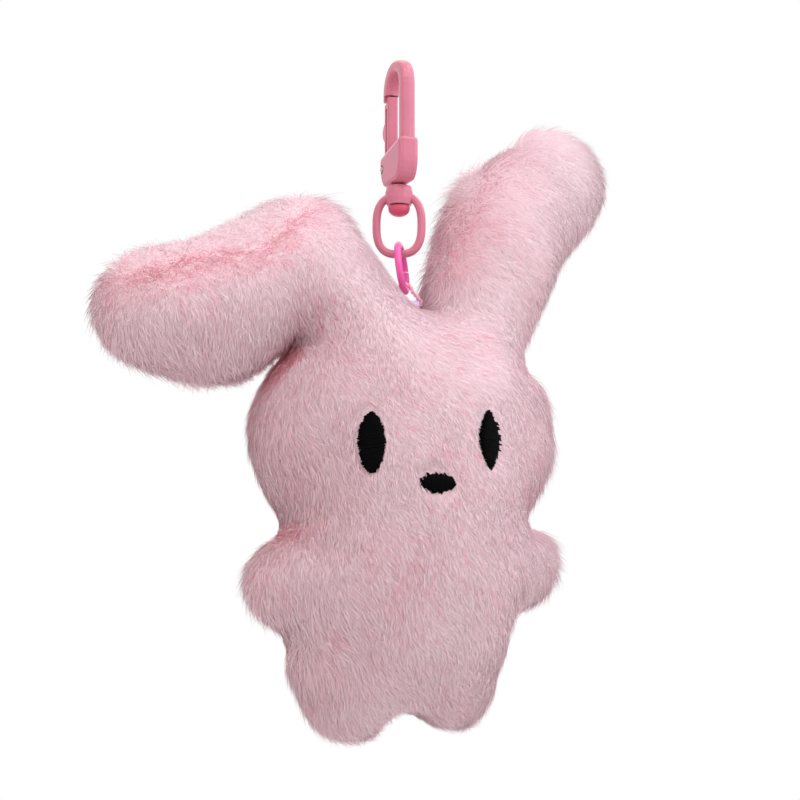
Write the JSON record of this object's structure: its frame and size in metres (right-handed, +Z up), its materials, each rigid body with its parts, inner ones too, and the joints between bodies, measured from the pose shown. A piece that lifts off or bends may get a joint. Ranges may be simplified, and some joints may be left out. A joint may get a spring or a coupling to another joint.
{
  "type": "plush keychain",
  "caption": "Pink plush rabbit keychain: stuffed two-panel rabbit with one folded ear, hung by a ribbon tab, cord loop and jump ring from a swivel snap hook with a sprung gate.",
  "frame": {"origin": "inside top of the hook, where the ring or strap that carries the keychain bears", "axes": "+Z up along the hanging line, -Y the way the rabbit faces, +X to the right as seen from the front"},
  "size_m": [0.1131, 0.0468, 0.1366],
  "materials": {
    "pink_paint": "gloss",
    "rose_paint": "gloss",
    "hot_pink_paint": "gloss",
    "spring_steel": "satin",
    "rose_cord": "matte",
    "lavender_satin": "satin",
    "pink_fur": "matte",
    "white_filling": "matte",
    "black_thread": "satin"
  },
  "bodies": {
    "clasp": {"clasp_hook": "pink_paint", "gate_pin": "spring_steel", "gate_spring": "spring_steel", "swivel_rivet": "rose_paint"},
    "gate": {"clasp_gate": "pink_paint"},
    "swivel": {"swivel_eye": "pink_paint"},
    "ring": {"jump_ring": "hot_pink_paint"},
    "plush": {"cord_loop": "rose_cord", "ribbon_tab": "lavender_satin", "front_panel": "pink_fur", "back_panel": "pink_fur", "stuffing": "white_filling", "eye_left": "black_thread", "eye_right": "black_thread", "nose": "black_thread"}
  },
  "joints": [
    {"name": "gate_hinge", "type": "hinge", "parent": "clasp", "child": "gate", "pos_m": [0, 0.00465, -0.0192], "axis": [1, 0, 0], "range_deg": [0, 20], "stiffness_Nm_per_rad": 0.06, "springref_deg": -5.73, "deforming": ["gate_spring"]},
    {"name": "swivel_turn", "type": "hinge", "parent": "clasp", "child": "swivel", "pos_m": [0, 0, -0.0256], "axis": [0, 0, 1], "continuous": true},
    {"name": "ring_swing", "type": "hinge", "parent": "swivel", "child": "ring", "pos_m": [0, 0, -0.03765], "axis": [0.8829, -0.4695, 0], "range_deg": [-30, 30]},
    {"name": "plush_swing", "type": "hinge", "parent": "ring", "child": "plush", "pos_m": [0.00103, -0.00055, -0.04525], "axis": [0.4695, 0.8829, 0], "range_deg": [-10, 10]}
  ]
}
